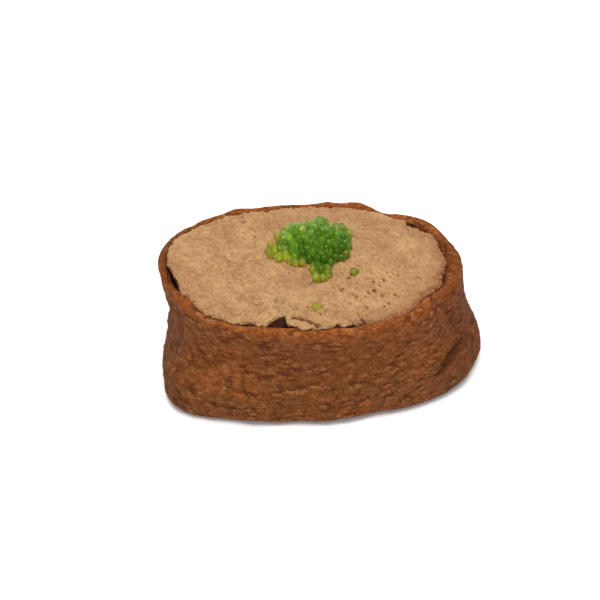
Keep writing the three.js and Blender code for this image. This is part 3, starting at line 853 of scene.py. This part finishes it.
def lump_tree(material):
    tree, size, result = new_tree("paste_lumps", LUMPS)
    place = in_millimetres(tree, tree.nodes.new("GeometryNodeInputPosition").outputs[0])
    inputs = {"Vector": place, "Axis": (0, 0, 1), "Angle": SMEAR_ANGLE}
    spread = add_node(tree, "ShaderNodeVectorRotate", inputs, rotation_type="AXIS_ANGLE").outputs[0]
    spread = vector(tree, "MULTIPLY", spread, SMEAR_STRETCH)
    raised = 0.0
    for kind, detail, roughness in (("Smear", 1.0, 0.4), ("Lump", 3.0, 0.6), ("Grain", 2.0, 0.6)):
        lumps = centred(tree, noise(tree, spread, size[kind + " size"], detail, roughness))
        raised = calc(tree, "MULTIPLY_ADD", lumps, size[kind + " depth"], raised)
    inputs = {"Vector": place, "Scale": calc(tree, "DIVIDE", 1.0, size["Pit spacing"])}
    cells = add_node(tree, "ShaderNodeTexVoronoi", inputs)
    chance = add_node(tree, "ShaderNodeSeparateXYZ", {0: cells.outputs["Color"]}).outputs[0]
    least = remap(tree, named(tree, "pitted"), 0.0, 1.0, 0.9, 0.45)
    pit = calc(tree, "GREATER_THAN", chance, least)
    pit = calc(tree, "MULTIPLY", pit, remap(tree, cells.outputs["Distance"], 0.24, 0.08))
    geometry = store(tree, size["Geometry"], "lump", raised)
    geometry = store(tree, geometry, "pit", pit)
    raised = calc(tree, "SUBTRACT", raised, calc(tree, "MULTIPLY", pit, size["Pit depth"]))
    geometry = raise_along_normal(tree, geometry, calc(tree, "MULTIPLY", raised, named(tree, "top")))
    tree.links.new(with_material(tree, geometry, material), result[0])
    return tree


PASTE_TAN = (0.450, 0.250, 0.104, 1)
PASTE_PINK = (0.360, 0.177, 0.078, 1)
PASTE_CREAM = (0.580, 0.355, 0.160, 1)
PASTE_STAIN = (0.220, 0.068, 0.022, 1)
PASTE_SPECK = (0.230, 0.070, 0.026, 1)
PASTE_SHADE = (0.175, 0.045, 0.015, 1)
PASTE_DEEP_SHADE = (0.125, 0.040, 0.020, 1)
PASTE_FLUSH_AND_SHADE = (0.370, 0.165, 0.075, 1)
PASTE_BUMP = 0.8


def paste_material():
    """The paste's colours: cream as painted highlight on its lumps and pinker as painted shade between
    them, brown as painted shade in its pits, grooves and gaps, and a brown stain by the rim.
    """
    material, tree, shader = new_material("fish_paste")
    place = object_place(tree)
    lump = attribute(tree, "lump")
    dark = attribute(tree, "dark")
    grain, roughness = moist_grain(tree, place, 0.45, 0.75, 0.5)
    colour = mottle(tree, place, 2.4, 0.14, 0.35, PASTE_TAN, PASTE_PINK)
    colour = mottle(tree, place, 0.7, 0.08, 0.5, colour, PASTE_CREAM)
    colour = laid_over(tree, colour, grain, 0.47, 0.33, 0.5, PASTE_PINK)
    colour = laid_over(tree, colour, noise(tree, place, 1.0, 3.0, 0.6), 0.60, 0.70, 0.5, PASTE_SPECK)
    # Painted highlight on the lumps and painted shade between them.
    colour = laid_over(tree, colour, lump, 0.03, 0.25, 0.6, PASTE_CREAM)
    colour = laid_over(tree, colour, lump, -0.03, -0.25, 0.75, PASTE_PINK)
    # Painted shade in the small pits.
    colour = blend(tree, calc(tree, "MULTIPLY", attribute(tree, "pit"), 0.95), colour, PASTE_SPECK)
    # The pink flush at the edges, and painted shade behind the roe.
    colour = blend(tree, calc(tree, "MULTIPLY", attribute(tree, "flush"), 0.75), colour, PASTE_FLUSH_AND_SHADE)
    streaks = remap(tree, noise(tree, place, 0.8, 3.0, 0.6), 0.35, 0.65, 0.3, 0.95)
    colour = blend(tree, calc(tree, "MULTIPLY", attribute(tree, "stain"), streaks), colour, PASTE_STAIN)
    # Painted shade in the gaps by the rim, the grooves and the pits, darkest where they are deepest.
    colour = laid_over(tree, colour, dark, 0.15, 0.6, 0.9, PASTE_SHADE)
    colour = laid_over(tree, colour, dark, 0.6, 0.95, 1.0, PASTE_DEEP_SHADE)
    finish = {
        "Base Color": colour,
        "Roughness": roughness,
        "Normal": raised_grain(tree, grain, 1.0, PASTE_BUMP),
        "Specular IOR Level": 0.25,
        "Subsurface Weight": 0.08,
        "Subsurface Radius": (1.0, 0.6, 0.35),
        "Subsurface Scale": 0.3 * MM,
    }
    feed(tree, shader, finish)
    return material


grow(paste, lump_tree(paste_material()), LUMPS)
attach(paste, "root")
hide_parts("filling")

# The roe: clear green fish eggs of 1.9 mm that stick together in a small heap on the paste, with a
# thin tail towards the front, and two strays sunk in the paste. Under the eggs that show lies a
# smooth core of them. The eggs at the heap's thin edges are yellower, as the paste shows through.
EGG_RADIUS = 0.95
EGG_REACH = 1.5  # radii from the heap's height down to an egg's lowest point
CORE_LOWER = 1.1  # radii that the core lies under the least height of the heap round it
CORE_LEAST = 0.2  # radii that it stands over the paste at least
CORE_INSET = 0.9  # radii from the heap's edge in to the core's
CORE_SUNK = 0.1
CORE_ROWS = 36
HEAP_AROUND = 120
HEAP_STEP = 0.05  # the heap's edge is looked for outwards in such steps
HEAP_STEPS = 300
HEAP_MIDDLE = np.array([0.6, 2.6])
ROE_MOUNDS = (  # middle, half sizes and height
    (1.3, 4.5, 6.9, 6.4, 4.3),
    (-2.2, 6.0, 5.6, 4.8, 4.0),
    (-6.6, 3.1, 3.4, 2.9, 1.2),
    (-3.4, 1.1, 4.1, 2.1, 1.0),
    (1.5, -3.2, 2.0, 3.3, 1.2),
    (2.0, -0.6, 3.0, 2.7, 1.9),
    (1.4, 9.0, 2.6, 3.2, 3.7),
    (5.6, 7.6, 2.6, 2.8, 2.9),
)


def heap_height(plan):
    """Height of the heap over the paste at places of the plan, 0 outside it."""
    heights = []
    for *mound, high in ROE_MOUNDS:
        apart = apart_in_plan(plan, *mound)
        heights.append(high * np.sqrt(np.clip(1 - apart * apart, 0, 1)))
    return np.max(heights, 0)


def lightness(plan):
    """How light the roe is at places of the plan: painted light and shade, lighter to the back left and
    darker to the front right.
    """
    return smoothstep(-4.0, 13.0, plan[..., 1] - 0.35 * plan[..., 0])


def yellowness(plan):
    """How yellow the roe is: most where the heap is thin, at the left and at the tail's end."""
    left = smoothstep(3.0, -3.0, plan[..., 0] + 0.3 * plan[..., 1])
    tail = smoothstep(-3.5, -6.0, plan[..., 1])
    return smoothstep(1.8, 0.7, heap_height(plan)) * (0.3 + 0.5 * np.maximum(left, tail))


heap_out = directions(HEAP_AROUND)
heap_reach = np.zeros(HEAP_AROUND)
for _ in range(HEAP_STEPS):
    plan = HEAP_MIDDLE + heap_reach[:, None] * heap_out[:, :2]
    heap_reach = np.where(heap_height(plan) > 0, heap_reach + HEAP_STEP, heap_reach)
paste_now = BVHTree.FromObject(paste, bpy.context.evaluated_depsgraph_get())


def on_paste(plan):
    """Points on top of the paste over places of the plan, given from the pouch's axis."""
    places = np.concatenate([plan + POUCH_AXIS[:2], 0 * plan[..., :1]], -1)
    return cast(paste_now, places + FAR * UP, places)


def core_ring(share):
    """A ring of places of the plan, at a share of the way out to the core's edge."""
    shrunk = np.maximum(heap_reach - CORE_INSET * EGG_RADIUS, 0)
    return HEAP_MIDDLE + share * shrunk[:, None] * heap_out[:, :2]


def core_height(plan):
    """Height of the core over the paste: lower than the heap is anywhere within an egg's radius."""
    near = [heap_height(plan + EGG_RADIUS * step) for step in directions(8)[:, :2]]
    return np.maximum(CORE_LEAST * EGG_RADIUS, np.min(near, 0) - CORE_LOWER * EGG_RADIUS)


core_rings = [on_paste(core_ring(share)) - CORE_SUNK * UP for share in (0, 0.5, 1)]
for share in np.linspace(1, 0, CORE_ROWS):
    ring = core_ring(share)
    core_rings.append(on_paste(ring) + core_height(ring)[:, None] * UP)
core_rings = np.array(core_rings)
core_plan = core_rings[:, :, :2] - POUCH_AXIS[:2]
# The core's tone: painted light and shade, lighter to the back left.
core = ring_mesh("roe_core", core_rings, {"tone": lightness(core_plan), "yellow": yellowness(core_plan)})

EGG_TRIES = 20000
EGG_SPACING = 1.36  # least distance between the eggs' middles, less than an egg as they press flat
EGG_SPREAD = 0.12  # share of its size by which an egg is larger or smaller at most
EGG_SINK = 0.3
EGG_TONES = 0.9
ROE_REACH = 12
EGG_SEED = 21
random = np.random.default_rng(EGG_SEED)


def egg_places():
    """Eggs dropped on the heap at random, where each stays only if its neighbours leave room."""
    kept = []
    for _ in range(EGG_TRIES):
        angle = 2 * np.pi * random.random()
        far = ROE_REACH * math.sqrt(random.random())
        size = 1 + EGG_SPREAD * (2 * random.random() - 1)
        sink = EGG_SINK * random.random()
        plan = HEAP_MIDDLE + far * np.array([math.cos(angle), math.sin(angle)])
        high = float(heap_height(plan))
        if high <= 0:
            continue
        lift = max(0.0, high - EGG_REACH * size * EGG_RADIUS)
        middle = on_paste(plan[None])[0] + (EGG_RADIUS * size + lift - sink) * UP
        if all(np.linalg.norm(middle - other[0]) > EGG_SPACING for other in kept):
            # An egg's tone: painted light and shade by its place, and a random tone of its own.
            light = lightness(plan) + EGG_TONES * (random.random() - 0.5)
            kept.append((middle, size, light, yellowness(plan)))
    return kept


def egg_bed(name, eggs):
    """Points where eggs go, with their size, lightness and yellowness."""
    mesh = bpy.data.meshes.new(name)
    mesh.from_pydata([tuple(egg[0] * MM) for egg in eggs], [], [])
    for column, mark in enumerate(("size", "tone", "yellow"), 1):
        set_mark(mesh, mark, [float(egg[column]) for egg in eggs])
    return new_object(name, mesh)


EGGS = {"Egg radius": EGG_RADIUS}


def egg_tree(material):
    tree, size, result = new_tree("roe_eggs", EGGS)
    radius = calc(tree, "MULTIPLY", size["Egg radius"], MM)
    egg = add_node(tree, "GeometryNodeMeshIcoSphere", {"Radius": radius, "Subdivisions": 2}).outputs[0]
    inputs = {0: (0, 0, 0), 1: (6.28, 6.28, 6.28), "Seed": 2}
    turned = add_node(tree, "FunctionNodeRandomValue", inputs, data_type="FLOAT_VECTOR").outputs[0]
    points = add_node(tree, "GeometryNodeMeshToPoints", {0: size["Geometry"]}).outputs[0]
    inputs = {"Points": points, "Instance": egg, "Rotation": turned, "Scale": named(tree, "size")}
    eggs = add_node(tree, "GeometryNodeInstanceOnPoints", inputs).outputs[0]
    eggs = add_node(tree, "GeometryNodeRealizeInstances", {0: eggs}).outputs[0]
    eggs = add_node(tree, "GeometryNodeSetShadeSmooth", {0: eggs}).outputs[0]
    tree.links.new(with_material(tree, eggs, material), result[0])
    return tree


ROE_DEEP = (0.19, 0.38, 0.012, 1)
ROE_LIGHT = (0.54, 0.78, 0.13, 1)
ROE_PAINTED_HIGHLIGHT = (0.82, 0.93, 0.40, 1)
ROE_YELLOW = (0.90, 0.83, 0.15, 1)


def roe_material():
    """Clear eggs, light or deep green by their place as painted light and shade and by a random tone,
    pale at the lightest as a painted highlight, and yellow where the paste shows through.
    """
    material, tree, shader = new_material("green_roe")
    tone = attribute(tree, "tone")
    yellow = attribute(tree, "yellow")
    colour = blend(tree, tone, ROE_DEEP, ROE_LIGHT)
    # Painted highlight: the lightest eggs turn pale.
    colour = laid_over(tree, colour, tone, 0.8, 1.15, 1.0, ROE_PAINTED_HIGHLIGHT)
    colour = blend(tree, yellow, colour, ROE_YELLOW)
    finish = {
        "Base Color": mottle(tree, object_place(tree), 0.9, 0.15, 0.4, colour, ROE_DEEP),
        "Roughness": remap(tree, yellow, 0.1, 0.8, 0.03, 0.35),
        "IOR": 1.36,
        "Specular IOR Level": 0.35,
        "Specular Tint": (0.6, 1.0, 0.4, 1),
        "Transmission Weight": 0.87,
        "Subsurface Weight": 1.0,
        "Subsurface Radius": (0.4, 1.0, 0.2),
        "Subsurface Scale": 0.8 * MM,
    }
    feed(tree, shader, finish)
    return material


CORE_DARK = (0.12, 0.23, 0.008, 1)
CORE_GREEN = (0.31, 0.54, 0.05, 1)
CORE_YELLOW = (0.46, 0.44, 0.06, 1)


def core_material():
    """The mass of eggs below, darker and duller than those that show, as painted shade in the gaps
    between the eggs, and lighter to the back left by painted light and shade.
    """
    material, tree, shader = new_material("roe_core")
    colour = blend(tree, attribute(tree, "tone"), CORE_DARK, CORE_GREEN)
    colour = blend(tree, attribute(tree, "yellow"), colour, CORE_YELLOW)
    colour = mottle(tree, object_place(tree), 1.3, 0.12, 0.6, colour, CORE_DARK)
    feed(tree, shader, {"Base Color": colour, "Roughness": 0.5, "Specular IOR Level": 0.2})
    return material


egg_look = egg_tree(roe_material())
eggs = grow(egg_bed("roe_eggs", egg_places()), egg_look, EGGS)
core.data.materials.append(core_material())
stray = []
for x, y, size, sunk, light, yellow in STRAY_EGGS:
    middle = on_paste(np.array([[x, y]]))[0] + size * EGG_RADIUS * (1 - 2 * sunk) * UP
    stray.append((middle, size, light, yellow))
stray_eggs = grow(egg_bed("stray_eggs", stray), egg_look, EGGS)
for piece, node in ((eggs, "roe_heap"), (core, "roe_heap"), (stray_eggs, "filling")):
    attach(piece, "root")
    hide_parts(node)

# The table, the light and the camera: a plain white surface under soft light from all round, with
# a large lamp high overhead.
HALF_TABLE = 2.0
TABLE_WHITE = (0.9, 0.9, 0.9, 1)
LIGHT_ALL_ROUND = 0.80
table_mesh = bpy.data.meshes.new("table")
corners = [(-1, -1), (1, -1), (1, 1), (-1, 1)]
table_mesh.from_pydata([(x * HALF_TABLE, y * HALF_TABLE, 0) for x, y in corners], [], [(0, 1, 2, 3)])
table = new_object("table", table_mesh)
material, tree, shader = new_material("table_white")
feed(tree, shader, {"Base Color": TABLE_WHITE, "Roughness": 0.9, "Specular IOR Level": 0.1})
table_mesh.materials.append(material)

world = bpy.data.worlds.new("studio")
world.use_nodes = True
background = world.node_tree.nodes["Background"]
feed(world.node_tree, background, {"Color": (1, 1, 1, 1), "Strength": LIGHT_ALL_ROUND})
bpy.context.scene.world = world


def lamp(name, place, aim, size, watts):
    """A square lamp at a place, turned to its aim."""
    light = bpy.data.lights.new(name, "AREA")
    light.size = size
    light.energy = watts
    holder = new_object(name, light)
    holder.location = place
    holder.rotation_euler = (Vector(aim) - Vector(place)).to_track_quat("-Z", "Y").to_euler()


lamp("key_lamp", (-0.02, -0.07, 0.58), (0, 0, 0.02), 0.30, 3.4)

CAMERA_AIM = Vector((-5.234, 0.583, 17.6)) * MM
CAMERA_DISTANCE = 0.3
CAMERA_ELEVATION = math.radians(45)
CAMERA_LENS = 80.46
CAMERA_SENSOR = 36
camera_data = bpy.data.cameras.new("camera")
camera_data.sensor_width = CAMERA_SENSOR
camera_data.lens = CAMERA_LENS
camera_data.clip_start = 0.01
camera = new_object("camera", camera_data)
back = Vector((0, -math.cos(CAMERA_ELEVATION), math.sin(CAMERA_ELEVATION)))
camera.location = CAMERA_AIM + CAMERA_DISTANCE * back
camera.rotation_euler = (-back).to_track_quat("-Z", "Y").to_euler()
bpy.context.scene.camera = camera
bpy.context.scene.view_settings.view_transform = "Standard"
